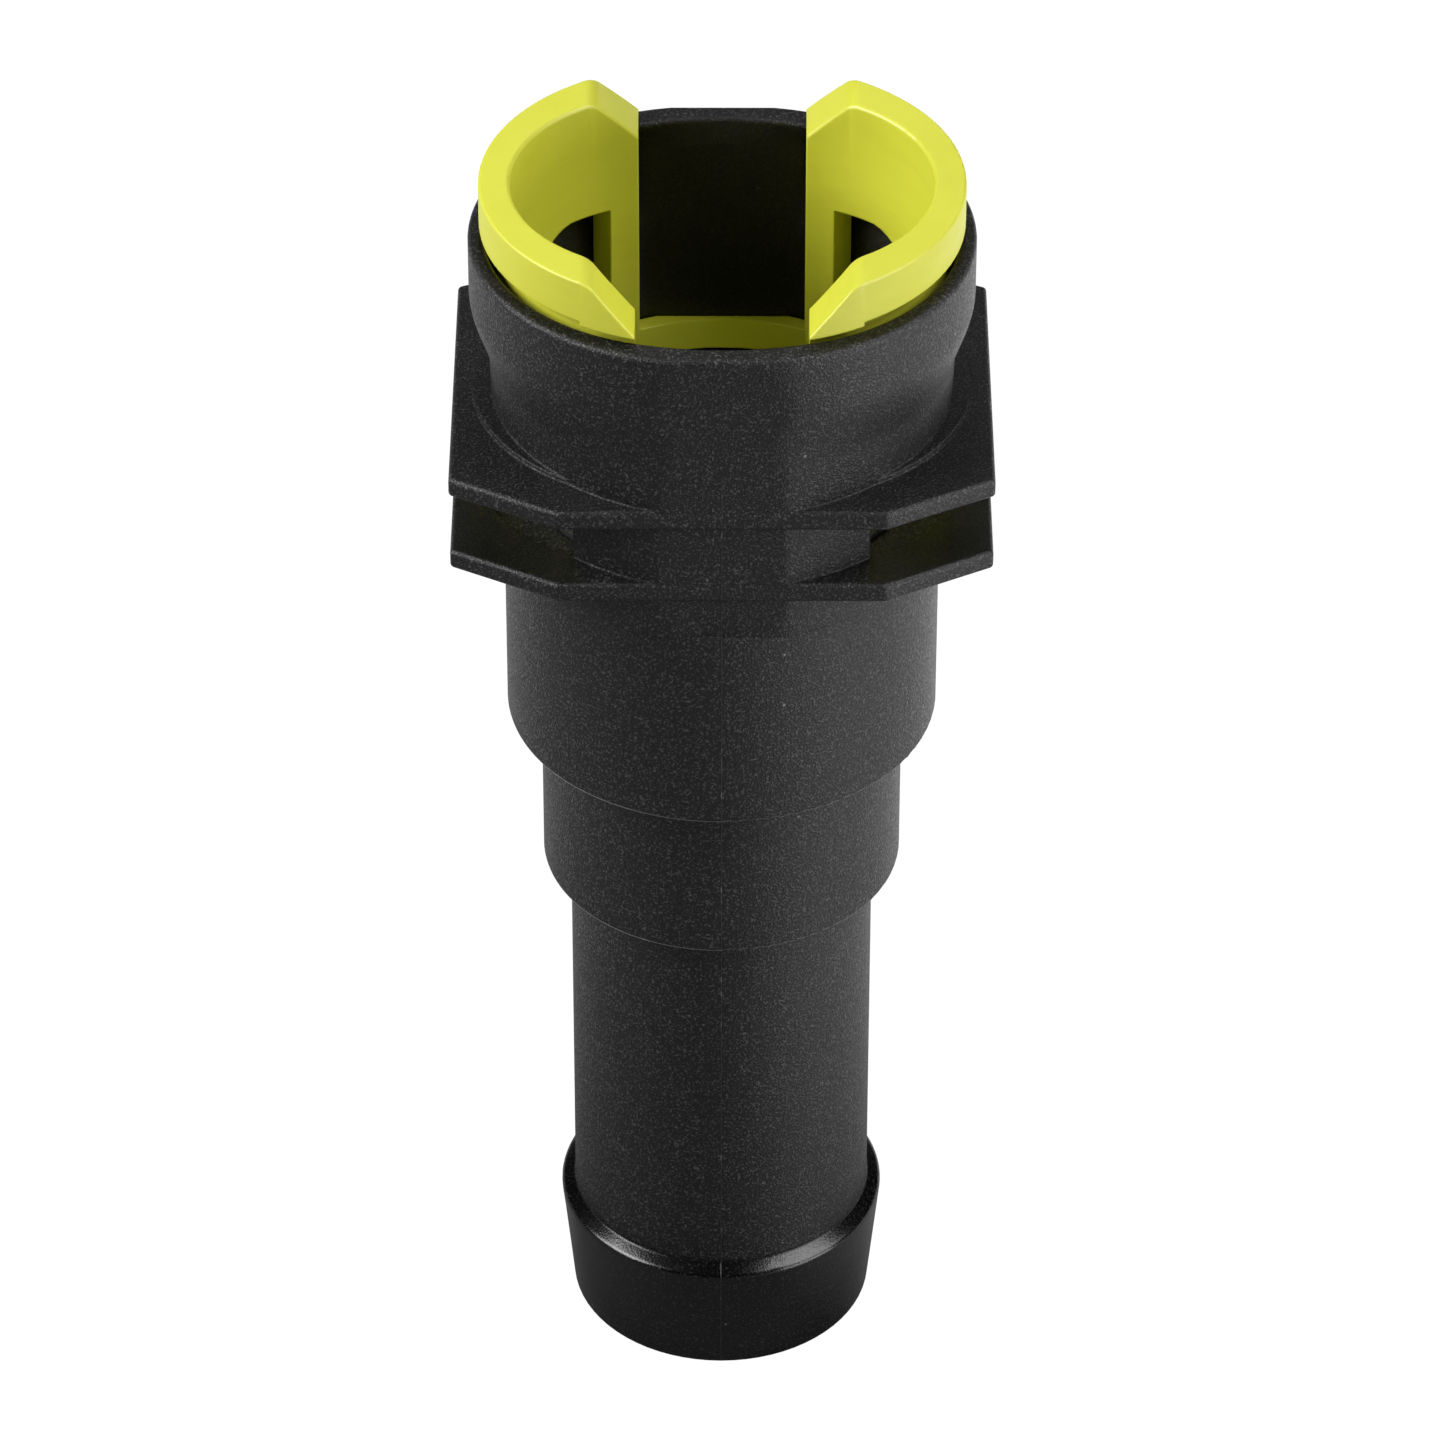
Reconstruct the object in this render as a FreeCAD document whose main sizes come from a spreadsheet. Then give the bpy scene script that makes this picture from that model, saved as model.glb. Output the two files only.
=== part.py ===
import FreeCAD, Part
import math
import os
import re

import Sketcher
from FreeCAD import Placement, Rotation, Vector

# Coolant hose connector: a barbed stem for a 19 mm hose below, and above it a quick connector socket with a
# spring retainer. Millimetres, +Z up, origin at the centre of the barb's end. The flats and the gaps between
# the retainer's arms face -Y and +Y, and the windows and the two arms face -X and +X.

SIZES = {
    # Radius that the hose's bore and the tube that plugs in share.
    "nominal_radius": 9.5,
    # Bead on the tube, which the retainer holds, and the gap round the tube in its guides.
    "bead_height": 2.1,
    "bead_gap": 0.2,
    "guide_gap": 0.15,
    # Seals, spacer and bushing in the seal chamber.
    "seal_cord_radius": 1.0,
    "seal_squeeze": 0.1,
    "seal_gap": 0.05,
    "spacer_length": 3.0,
    "shelf_width": 0.6,
    "shelf_depth": 2.4,
    "bushing_flange": 2.2,
    # Hose stem: a cone that ends in the barb, then a straight shank.
    "stem_wall": 2.0,
    "stem_end_height": 0.12,
    "barb_height": 0.9,
    "barb_crest_level": 7.95,
    "barb_shoulder_level": 8.45,
    # Two stepped cylinders over the shank, round the tube's nose and round the seals.
    "pilot_wall": 1.56,
    "pilot_house_level": 35.4,
    "pilot_floor_height": 3.1,
    "flow_cone_height": 2.15,
    "seal_wall": 1.91,
    "seal_house_level": 47.1,
    "chamber_floor_height": 2.9,
    # Neck with two flats that run out towards the rim, and the mouth that widens sideways.
    "neck_level": 61.0,
    "neck_step": 0.31,
    "neck_draft": 0.4,
    "foot_flat_depth": 0.52,
    "rim_flat_depth": 0.13,
    "flare_level": 73.1,
    "flare_height": 4.6,
    "flare_reach": 1.15,
    "rim_level": 81.4,
    # Two flanges with cut corners, shallower at the back, over and under the windows.
    "flange_reach": 16.25,
    "flange_thickness": 1.28,
    "flange_proud": 0.12,
    "flange_corner_width": 6.47,
    "flange_corner_depth": 3.5,
    "flange_back_corner_depth": 2.9,
    "lower_flange_level": 63.72,
    "upper_flange_level": 69.08,
    "window_jamb": 8.85,
    "land_step": 1.72,
    "land_offset": 2.8,
    "land_height": 0.3,
    "slot_depth": 0.6,
    # Socket for the retainer.
    "socket_wall": 1.02,
    "front_wall": 0.85,
    "lead_height": 1.9,
    "lead_front_width": 0.25,
    "lead_crown_width": 2.46,
    "lead_shift": 1.0,
    # Retainer.
    "retainer_gap": 0.15,
    "ring_height": 2.1,
    "arm_inner_offset": 3.1,
    "arm_outer_gap": 1.0,
    "arm_outer_offset": 1.48,
    "arm_end": 5.1,
    "lip_reach": 1.0,
    "lip_level": 82.25,
    "lip_toe": 0.28,
    "lip_toe_width": 8.3,
    "arm_top_level": 85.0,
    "bevel_reach": 2.7,
    "bevel_drop": 2.9,
    "arm_window_level": 77.1,
    "arm_window_angle": 52.15,
    "tongue_width": 4.6,
    "tongue_spread": 2.7,
    "lug_width": 3.8,
    "lug_height": 3.7,
    "lug_reach": 13.9,
    # Rounded edges.
    "barb_round": 0.35,
    "step_round": 0.25,
    "flange_round": 0.3,
    "rim_round": 0.35,
    "bevel_round": 1.2,
    "lip_round": 0.14,
    "mouth_round": 0.25,
}

# Sizes that follow from the ones above and from each other, from the tube and the hose outwards.
FOLLOWING = {
    "tube_radius": "nominal_radius",
    "shank_radius": "nominal_radius",
    "guide_radius": "tube_radius + guide_gap",
    "chamber_radius": "tube_radius + seal_cord_radius * 2 - seal_squeeze",
    "shelf_radius": "chamber_radius + shelf_width",
    "flow_radius": "shank_radius - stem_wall",
    "stem_end_radius": "shank_radius + stem_end_height",
    "barb_crest_radius": "shank_radius + barb_height",
    "pilot_house_radius": "guide_radius + pilot_wall",
    "pilot_floor_level": "pilot_house_level + pilot_floor_height",
    "seal_house_radius": "chamber_radius + seal_wall",
    "chamber_floor_level": "seal_house_level + chamber_floor_height",
    "neck_foot_radius": "seal_house_radius + neck_step",
    "neck_radius": "neck_foot_radius + neck_draft",
    "neck_foot_flat": "neck_foot_radius - foot_flat_depth",
    "rim_flat": "neck_radius - rim_flat_depth",
    "flare_top_level": "flare_level + flare_height",
    "socket_floor_level": "lower_flange_level + flange_thickness",
    "shelf_level": "socket_floor_level - shelf_depth",
    "socket_radius": "neck_radius - socket_wall",
    "socket_flat": "neck_foot_flat - front_wall",
    "lead_level": "rim_level - lead_height",
    "land_radius": "neck_radius - land_step",
    "ring_bore_radius": "tube_radius + bead_height + bead_gap",
    "ring_top_level": "socket_floor_level + ring_height",
    "arm_outer_radius": "socket_radius - arm_outer_gap",
    "lip_radius": "arm_outer_radius + lip_reach",
}

doc = FreeCAD.newDocument("hose_connector")
sheet = doc.addObject("Spreadsheet::Sheet", "sizes")
for row, (alias, size) in enumerate({**SIZES, **FOLLOWING}.items(), start=1):
    sheet.set(f"A{row}", alias)
    sheet.set(f"B{row}", f"={size}" if alias in FOLLOWING else str(size))
    sheet.setAlias(f"B{row}", alias)
doc.recompute()


def bound(expression):
    """Writes the sheet's name before each size in an expression."""

    def named(word):
        return f"sizes.{word[0]}" if word[0] in SIZES or word[0] in FOLLOWING else word[0]

    return re.sub("[a-z_]+", named, expression)


def value(expression):
    """The number that an expression over the sheet's sizes gives."""
    return float(sheet.evalExpression(bound(expression)))


def new_body(name):
    body = doc.addObject("PartDesign::Body", name)
    body.Label = name
    return body


def new_sketch(body, name, plane="XY_Plane", level=None):
    """A sketch on one of the body's own origin planes, raised to a level along the plane's normal."""
    sketch = body.newObject("Sketcher::SketchObject", name)
    support = [item for item in body.Origin.OriginFeatures if item.Role == plane][0]
    sketch.AttachmentSupport = [(support, "")]
    sketch.MapMode = "FlatFace"
    if level:
        sketch.AttachmentOffset = Placement(Vector(0, 0, value(level)), Rotation())
        sketch.setExpression("AttachmentOffset.Base.z", bound(level))
    return sketch


def fix(sketch, kind, geometry, point, expression):
    """Binds a coordinate of one point, or a radius, to an expression."""
    where = (geometry,) if point is None else (geometry, point)
    index = sketch.addConstraint(Sketcher.Constraint(kind, *where, value(expression)))
    sketch.setExpression(f"Constraints[{index}]", bound(expression))


def add_polygon(sketch, corners):
    """A closed polygon whose corners are pairs of expressions."""
    points = [Vector(value(x), value(y), 0) for x, y in corners]
    first = sketch.GeometryCount
    count = len(points)
    for number in range(count):
        sketch.addGeometry(Part.LineSegment(points[number], points[(number + 1) % count]), False)
    for number in range(count):
        here = first + number
        after = first + (number + 1) % count
        sketch.addConstraint(Sketcher.Constraint("Coincident", here, 2, after, 1))
        fix(sketch, "DistanceX", here, 1, corners[number][0])
        fix(sketch, "DistanceY", here, 1, corners[number][1])


def add_circle(sketch, radius):
    """A circle about the sketch's origin."""
    circle = sketch.addGeometry(Part.Circle(Vector(), Vector(0, 0, 1), value(radius)), False)
    sketch.addConstraint(Sketcher.Constraint("Coincident", circle, 3, -1, 1))
    fix(sketch, "Radius", circle, None, radius)


def add_arc(sketch, centre, radius, start, end):
    """An arc whose centre and radius are expressions. Its neighbours then set its start and end."""
    middle = Vector(value(centre[0]), value(centre[1]), 0)
    circle = Part.Circle(middle, Vector(0, 0, 1), value(radius))
    arc = sketch.addGeometry(Part.ArcOfCircle(circle, start, end), False)
    fix(sketch, "DistanceX", arc, 3, centre[0])
    fix(sketch, "DistanceY", arc, 3, centre[1])
    fix(sketch, "Radius", arc, None, radius)
    return arc


def add_sides(sketch, radius, offset, flat):
    """An outline of two side arcs, centred at +offset and -offset on X, with flats at +flat and -flat."""
    rise = math.asin(value(flat) / value(radius))
    reach = value(offset) + value(radius) * math.cos(rise)
    front = value(flat)
    right = add_arc(sketch, (offset, "0"), radius, -rise, rise)
    back = sketch.addGeometry(Part.LineSegment(Vector(reach, front, 0), Vector(-reach, front, 0)), False)
    left = add_arc(sketch, (f"0 - ({offset})", "0"), radius, math.pi - rise, math.pi + rise)
    near = sketch.addGeometry(Part.LineSegment(Vector(-reach, -front, 0), Vector(reach, -front, 0)), False)
    join(sketch, [(right, 2), (back, 1), (back, 2), (left, 1), (left, 2), (near, 1), (near, 2), (right, 1)])
    for line, height in ((back, flat), (near, f"0 - ({flat})")):
        sketch.addConstraint(Sketcher.Constraint("Horizontal", line))
        fix(sketch, "DistanceY", line, 1, height)


def add_oval(sketch, radius, offset, crown, front):
    """An outline of two side arcs and two flatter arcs that reach +front and -front on Y."""
    centre = f"{front} - ({crown})"
    low = value(centre)
    shift = value(offset)
    # Corner where a side arc and the back arc cross.
    span = math.hypot(shift, low)
    along = (value(radius) ** 2 - value(crown) ** 2 + span**2) / (2 * span)
    across = math.sqrt(value(radius) ** 2 - along**2)
    corner = Vector(shift - (along * shift - across * low) / span, (along * low + across * shift) / span, 0)
    rise = math.atan2(corner.y, corner.x - shift)
    lean = math.atan2(corner.y - low, corner.x)
    right = add_arc(sketch, (offset, "0"), radius, -rise, rise)
    back = add_arc(sketch, ("0", centre), crown, lean, math.pi - lean)
    left = add_arc(sketch, (f"0 - ({offset})", "0"), radius, math.pi - rise, math.pi + rise)
    near = add_arc(sketch, ("0", f"0 - ({centre})"), crown, math.pi + lean, 2 * math.pi - lean)
    join(sketch, [(right, 2), (back, 1), (back, 2), (left, 1), (left, 2), (near, 1), (near, 2), (right, 1)])


def add_crescent(sketch, side, inner, outer, limit, across=False):
    """A band between two arcs on the side -1 or +1 of X, each a radius and the distance of its centre from
    the axis. It ends at the limit, which counts along X, or along Y where across is true."""
    sign = "" if side > 0 else "0 - "
    arcs = []
    for radius, offset in (inner, outer):
        if across:
            rise = math.asin(value(limit) / value(radius))
        else:
            rise = math.acos((value(limit) - value(offset)) / value(radius))
        start = -rise if side > 0 else math.pi - rise
        arcs.append(add_arc(sketch, (f"{sign}({offset})", "0"), radius, start, start + 2 * rise))
    for point, end in ((1, "StartPoint"), (2, "EndPoint")):
        corners = [getattr(sketch.Geometry[arc], end) for arc in arcs]
        line = sketch.addGeometry(Part.LineSegment(*corners), False)
        join(sketch, [(arcs[0], point), (line, 1), (line, 2), (arcs[1], point)])
        if across:
            low = "0 - " if corners[0].y < 0 else ""
            sketch.addConstraint(Sketcher.Constraint("Horizontal", line))
            fix(sketch, "DistanceY", line, 1, f"{low}({limit})")
        else:
            sketch.addConstraint(Sketcher.Constraint("Vertical", line))
            fix(sketch, "DistanceX", line, 1, f"{sign}({limit})")


def join(sketch, ends):
    """Makes each pair of listed ends coincide."""
    for first, second in zip(ends[::2], ends[1::2]):
        sketch.addConstraint(Sketcher.Constraint("Coincident", *first, *second))


def extrude(body, kind, name, sketch, length, up=True):
    """A pad or pocket along +Z from its sketch, or along -Z."""
    feature = body.newObject(f"PartDesign::{kind}", name)
    feature.Profile = sketch
    feature.Reversed = up == (kind == "Pocket")
    feature.setExpression("Length", bound(length))
    return feature


def through(body, name, sketch):
    """A pocket that runs through the whole body, both ways from its sketch."""
    feature = body.newObject("PartDesign::Pocket", name)
    feature.Profile = sketch
    feature.Type = "ThroughAll"
    feature.Midplane = True
    return feature


def turn(body, kind, name, sketch):
    """A revolution or groove of a sketch about +Z."""
    feature = body.newObject(f"PartDesign::{kind}", name)
    feature.Profile = sketch
    feature.ReferenceAxis = (sketch, ["V_Axis"])
    feature.Angle = 360
    return feature


def loft(body, kind, name, sections, ruled=True):
    """A loft through a list of sketches."""
    feature = body.newObject(f"PartDesign::{kind}", name)
    feature.Profile = sections[0]
    feature.Sections = sections[1:]
    feature.Ruled = ruled
    return feature


def round_edges(body, name, radius, wanted):
    """Rounds the edges of the body for which the test called wanted is true."""
    doc.recompute()
    base = body.Tip
    edges = [f"Edge{number}" for number, edge in enumerate(base.Shape.Edges, start=1) if wanted(edge)]
    fillet = body.newObject("PartDesign::Fillet", name)
    fillet.Base = (base, edges)
    fillet.setExpression("Radius", bound(radius))
    return fillet


def lies_at(edge, level):
    """True for an edge that lies wholly at the level that an expression gives."""
    box = edge.BoundBox
    return abs(box.ZMin - value(level)) < 1e-4 and abs(box.ZMax - value(level)) < 1e-4


def flat_at(level):
    """The neck's flats lean outwards: their distance from the axis at a level."""
    share = f"({level} - neck_level) / (rim_level - neck_level)"
    return f"neck_foot_flat + (rim_flat - neck_foot_flat) * {share}"


def flare_levels():
    """The levels of the flare's sections, and how far its halves have moved apart there, on an S-curve."""
    steps = 4
    for step in range(steps + 1):
        share = step / steps
        ease = share * share * (3 - 2 * share)
        yield f"flare_level + flare_height * {share}", f"flare_reach * {ease}"


def build_stem(body):
    """Barb, shank and the two stepped cylinders, turned in one piece."""
    profile = new_sketch(body, "stem_profile", "XZ_Plane")
    add_polygon(profile, [
        ("0", "0"),
        ("stem_end_radius", "0"),
        ("barb_crest_radius", "barb_crest_level"),
        ("shank_radius", "barb_shoulder_level"),
        ("shank_radius", "pilot_house_level"),
        ("pilot_house_radius", "pilot_house_level"),
        ("pilot_house_radius", "seal_house_level"),
        ("seal_house_radius", "seal_house_level"),
        ("seal_house_radius", "neck_level"),
        ("0", "neck_level"),
    ])
    turn(body, "Revolution", "stem", profile)


def build_neck(body):
    """Tapered neck, S-shaped flare and straight mouth, all with the two flats."""
    foot = new_sketch(body, "neck_foot", level="neck_level")
    add_sides(foot, "neck_foot_radius", "0", flat_at("neck_level"))
    top = new_sketch(body, "neck_top", level="flare_level")
    add_sides(top, "neck_radius", "0", flat_at("flare_level"))
    loft(body, "AdditiveLoft", "neck", [foot, top])
    sections = []
    for number, (level, spread) in enumerate(flare_levels()):
        section = new_sketch(body, f"flare_section_{number}", level=level)
        add_sides(section, "neck_radius", spread, flat_at(level))
        sections.append(section)
    loft(body, "AdditiveLoft", "flare", sections, ruled=False)
    mouth_foot = new_sketch(body, "mouth_foot", level="flare_top_level")
    add_sides(mouth_foot, "neck_radius", "flare_reach", flat_at("flare_top_level"))
    rim = new_sketch(body, "rim_outline", level="rim_level")
    add_sides(rim, "neck_radius", "flare_reach", "rim_flat")
    loft(body, "AdditiveLoft", "mouth", [mouth_foot, rim])


def build_flanges(body):
    """Two flanges with cut corners and rounded edges, which stand a little proud of the neck's flats."""
    for name in ("lower_flange", "upper_flange"):
        level = f"{name}_level"
        front = flat_at(f"({level} + flange_thickness)") + " + flange_proud"
        outline = new_sketch(body, f"{name}_outline", level=level)
        add_polygon(outline, [
            ("flange_reach", f"{front} - flange_back_corner_depth"),
            ("flange_reach - flange_corner_width", front),
            ("flange_corner_width - flange_reach", front),
            ("0 - flange_reach", f"{front} - flange_back_corner_depth"),
            ("0 - flange_reach", f"flange_corner_depth - ({front})"),
            ("flange_corner_width - flange_reach", f"0 - ({front})"),
            ("flange_reach - flange_corner_width", f"0 - ({front})"),
            ("flange_reach", f"flange_corner_depth - ({front})"),
        ])
        extrude(body, "Pad", name, outline, "flange_thickness")
    round_edges(body, "flange_rounding", "flange_round", lambda edge: True)


def build_land(body):
    """Low raised land round the neck on the upper flange."""
    outline = new_sketch(body, "land_outline", level="upper_flange_level + flange_thickness")
    add_sides(outline, "land_radius", "land_offset", "land_radius * 0.99")
    extrude(body, "Pad", "land", outline, "land_height")


def cut_socket(body):
    """The retainer's socket: flat front and back walls, the flare's S-curve inside, and an oval lead-in."""
    foot = new_sketch(body, "socket_floor", level="socket_floor_level")
    add_sides(foot, "socket_radius", "0", "socket_flat")
    extrude(body, "Pocket", "socket", foot, "flare_level - socket_floor_level")
    sections = []
    for number, (level, spread) in enumerate(flare_levels()):
        section = new_sketch(body, f"socket_section_{number}", level=level)
        add_sides(section, "socket_radius", spread, "socket_flat")
        sections.append(section)
    loft(body, "SubtractiveLoft", "socket_flare", sections, ruled=False)
    top = new_sketch(body, "socket_top", level="flare_top_level")
    add_sides(top, "socket_radius", "flare_reach", "socket_flat")
    extrude(body, "Pocket", "socket_mouth", top, "lead_level - flare_top_level")
    low = new_sketch(body, "lead_foot", level="lead_level")
    add_sides(low, "socket_radius", "flare_reach", "socket_flat")
    high = new_sketch(body, "lead_rim", level="rim_level")
    side_radius = "socket_radius - lead_shift"
    crown = "socket_radius + lead_crown_width"
    add_oval(high, side_radius, "flare_reach + lead_shift", crown, "socket_flat + lead_front_width")
    loft(body, "SubtractiveLoft", "lead_in", [low, high])


def cut_bores(body):
    """Shelf for the bushing, seal chamber, pilot bore and flow bore, turned in one cut."""
    profile = new_sketch(body, "bore_profile", "XZ_Plane")
    add_polygon(profile, [
        ("0", "0"),
        ("flow_radius", "0"),
        ("flow_radius", "pilot_floor_level - flow_cone_height"),
        ("guide_radius", "pilot_floor_level"),
        ("guide_radius", "chamber_floor_level"),
        ("chamber_radius", "chamber_floor_level"),
        ("chamber_radius", "shelf_level"),
        ("shelf_radius", "shelf_level"),
        ("shelf_radius", "socket_floor_level"),
        ("0", "socket_floor_level"),
    ])
    turn(body, "Groove", "bores", profile)


def cut_windows(body):
    """The two side windows between the flanges, each with a shallow slot in the lower flange for the lug."""
    openings = new_sketch(body, "window_outline", level="socket_floor_level")
    for side in ("", "0 - "):
        add_polygon(openings, [
            (f"{side}window_jamb", "0 - flange_reach"),
            (f"{side}flange_reach * 1.2", "0 - flange_reach"),
            (f"{side}flange_reach * 1.2", "flange_reach"),
            (f"{side}window_jamb", "flange_reach"),
        ])
    extrude(body, "Pocket", "windows", openings, "upper_flange_level - socket_floor_level")
    slots = new_sketch(body, "slot_outline", level="socket_floor_level")
    add_sides(slots, "land_radius", "land_offset", "socket_flat * 0.8")
    extrude(body, "Pocket", "slots", slots, "slot_depth", up=False)


def round_body(body):
    """Moulded edges."""

    def ring(edge, radius, level):
        return lies_at(edge, level) and abs(edge.BoundBox.XMax - value(radius)) < 1e-3

    round_edges(body, "barb_rounding", "barb_round",
                lambda edge: ring(edge, "barb_crest_radius", "barb_crest_level"))
    round_edges(body, "step_rounding", "step_round", lambda edge: any((
        ring(edge, "stem_end_radius", "0"),
        ring(edge, "pilot_house_radius", "pilot_house_level"),
        ring(edge, "seal_house_radius", "seal_house_level"),
    )))
    round_edges(body, "rim_rounding", "rim_round", lambda edge: lies_at(edge, "rim_level"))


def build_body():
    """The black moulding."""
    body = new_body("body")
    build_flanges(body)
    build_stem(body)
    build_neck(body)
    build_land(body)
    cut_socket(body)
    cut_bores(body)
    cut_windows(body)
    round_body(body)
    return body


# Arcs of the retainer in plan: a radius, and the distance of its centre from the axis.
ARM_INSIDE = ("tube_radius", "arm_inner_offset")
ARM_OUTSIDE = ("arm_outer_radius", "arm_outer_offset")
LIP_OUTSIDE = ("lip_radius", "arm_outer_offset")
LIP_CLEAR = ("lip_radius + lip_reach", "arm_outer_offset")
RING_INSIDE = ("ring_bore_radius", "0")
RING_OUTSIDE = ("socket_radius - retainer_gap", "0")


def build_retainer():
    """The spring retainer: two crossbars on the socket's floor, four legs, two arms with lips over the rim,
    and a tongue under each arm."""
    body = new_body("retainer")
    ring = new_sketch(body, "ring_outline", level="socket_floor_level")
    add_sides(ring, RING_OUTSIDE[0], "0", "socket_flat - retainer_gap * 0.4")
    add_circle(ring, "ring_bore_radius")
    extrude(body, "Pad", "ring", ring, "ring_height")
    arms = new_sketch(body, "arm_outline", level="ring_top_level")
    lips = new_sketch(body, "lip_outline", level="lip_level - lip_toe")
    steps = new_sketch(body, "lip_step_outline", level="lip_level - lip_toe")
    for side in (1, -1):
        add_crescent(arms, side, ARM_INSIDE, ARM_OUTSIDE, "arm_end")
        add_crescent(lips, side, ARM_INSIDE, LIP_OUTSIDE, "arm_end")
        add_crescent(steps, side, ARM_OUTSIDE, LIP_CLEAR, "lip_toe_width")
    extrude(body, "Pad", "arms", arms, "lip_level - lip_toe - ring_top_level")
    extrude(body, "Pad", "lips", lips, "arm_top_level - lip_level + lip_toe")
    extrude(body, "Pocket", "lip_steps", steps, "lip_toe")
    cut_windows_in_arms(body)
    bevel_arms(body)
    build_tongues(body)
    round_retainer(body)
    return body


def cut_windows_in_arms(body):
    """The window under each arm, between jambs that point at the axis."""
    angle = "arm_window_angle * 1deg"
    windows = new_sketch(body, "arm_window_outline", level="socket_floor_level")
    for side in ("", "0 - "):
        add_polygon(windows, [
            (f"{side}{reach} * cos({angle})", f"{half}{reach} * sin({angle})")
            for reach, half in (
                ("ring_bore_radius / 2", "0 - "),
                ("arm_outer_radius * 2", "0 - "),
                ("arm_outer_radius * 2", ""),
                ("ring_bore_radius / 2", ""),
            )
        ])
    extrude(body, "Pocket", "arm_windows", windows, "arm_window_level - socket_floor_level")


def bevel_arms(body):
    """The bevel on each arm's two ends."""
    bevels = new_sketch(body, "bevel_outline", "XZ_Plane")
    for side in ("", "0 - "):
        add_polygon(bevels, [
            (f"{side}(arm_end - bevel_reach)", "arm_top_level - bevel_drop * 2"),
            (f"{side}(arm_end + bevel_reach * 2)", "arm_top_level + bevel_drop"),
            (f"{side}(arm_end - bevel_reach)", "arm_top_level + bevel_drop"),
        ])
    through(body, "bevels", bevels)


def build_tongues(body):
    """A tongue under the middle of each arm, widening upwards to its root, with its lug in a window."""
    foot = "socket_floor_level + retainer_gap"

    def between(low, high, share):
        return tuple(f"{start} + ({end} - ({start})) * {share}" for start, end in zip(low, high))

    for side, name in ((1, "right"), (-1, "left")):
        low = new_sketch(body, f"{name}_tongue_foot", level=foot)
        add_crescent(low, side, RING_INSIDE, RING_OUTSIDE, "tongue_width", across=True)
        extrude(body, "Pad", f"{name}_tongue", low, f"flare_level - ({foot})")
        sections = []
        steps = 4
        for step in range(steps + 1):
            share = step / steps
            level = f"flare_level + (arm_window_level - flare_level) * {share}"
            section = new_sketch(body, f"{name}_tongue_section_{step}", level=level)
            inside = between(RING_INSIDE, ARM_INSIDE, share)
            outside = between(RING_OUTSIDE, ARM_OUTSIDE, share)
            width = f"tongue_width + tongue_spread * {share**3}"
            add_crescent(section, side, inside, outside, width, across=True)
            sections.append(section)
        loft(body, "AdditiveLoft", f"{name}_tongue_root", sections, ruled=False)
    lugs = new_sketch(body, "lug_outline", level=foot)
    for side in ("", "0 - "):
        add_polygon(lugs, [
            (f"{side}(ring_bore_radius + retainer_gap)", "0 - lug_width"),
            (f"{side}lug_reach", "0 - lug_width"),
            (f"{side}lug_reach", "lug_width"),
            (f"{side}(ring_bore_radius + retainer_gap)", "lug_width"),
        ])
    extrude(body, "Pad", "lugs", lugs, "lug_height")


def round_retainer(body):
    """Moulded edges of the arms and their lips."""

    def bevel_top(edge):
        box = edge.BoundBox
        here = abs(max(abs(box.XMin), abs(box.XMax)) - value("arm_end + bevel_reach")) < 1e-4
        return here and box.XLength < 1e-4 and lies_at(edge, "arm_top_level")

    def arc(radius, level):
        return lambda edge: (isinstance(edge.Curve, Part.Circle) and lies_at(edge, level)
                             and abs(edge.Curve.Radius - value(radius)) < 1e-4)

    round_edges(body, "bevel_rounding", "bevel_round", bevel_top)
    round_edges(body, "arm_rounding", "lip_round", arc("lip_radius", "arm_top_level"))
    round_edges(body, "mouth_rounding", "mouth_round", arc("tube_radius", "arm_top_level"))
    round_edges(body, "lip_rounding", "lip_round / 2", arc("lip_radius", "lip_level"))


def build_spacer():
    """Ring that keeps the two seals apart."""
    body = new_body("spacer")
    level = "chamber_floor_level + seal_cord_radius * 2 + seal_gap * 2"
    outline = new_sketch(body, "spacer_outline", level=level)
    add_circle(outline, "chamber_radius - seal_gap")
    add_circle(outline, "guide_radius")
    extrude(body, "Pad", "spacer_ring", outline, "spacer_length")
    return body


def build_seal(name, level):
    """A round-section ring that fills the chamber's width."""
    body = new_body(name)
    profile = new_sketch(body, f"{name}_section", "XZ_Plane")
    circle = Part.Circle(Vector(value("chamber_radius"), value(level), 0), Vector(0, 0, 1), 1)
    section = profile.addGeometry(circle, False)
    fix(profile, "DistanceX", section, 3, "chamber_radius - seal_gap - seal_cord_radius")
    fix(profile, "DistanceY", section, 3, level)
    fix(profile, "Radius", section, None, "seal_cord_radius")
    turn(body, "Revolution", f"{name}_ring", profile)
    return body


def build_bushing(seal_top):
    """Flanged guide that lies on the shelf and keeps the seals down."""
    body = new_body("bushing")
    profile = new_sketch(body, "bushing_profile", "XZ_Plane")
    add_polygon(profile, [
        ("guide_radius", seal_top),
        ("chamber_radius - seal_gap", seal_top),
        ("chamber_radius - seal_gap", "shelf_level"),
        ("shelf_radius - seal_gap", "shelf_level"),
        ("shelf_radius - seal_gap", "shelf_level + bushing_flange"),
        ("guide_radius", "shelf_level + bushing_flange"),
    ])
    turn(body, "Revolution", "bushing_ring", profile)
    return body


lower_seal = "chamber_floor_level + seal_gap + seal_cord_radius"
upper_seal = f"{lower_seal} + seal_cord_radius * 2 + seal_gap * 2 + spacer_length"
pieces = [
    build_body(),
    build_retainer(),
    build_seal("seal_lower", lower_seal),
    build_spacer(),
    build_seal("seal_upper", upper_seal),
    build_bushing(f"{upper_seal} + seal_cord_radius + seal_gap"),
]
doc.recompute()

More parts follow.
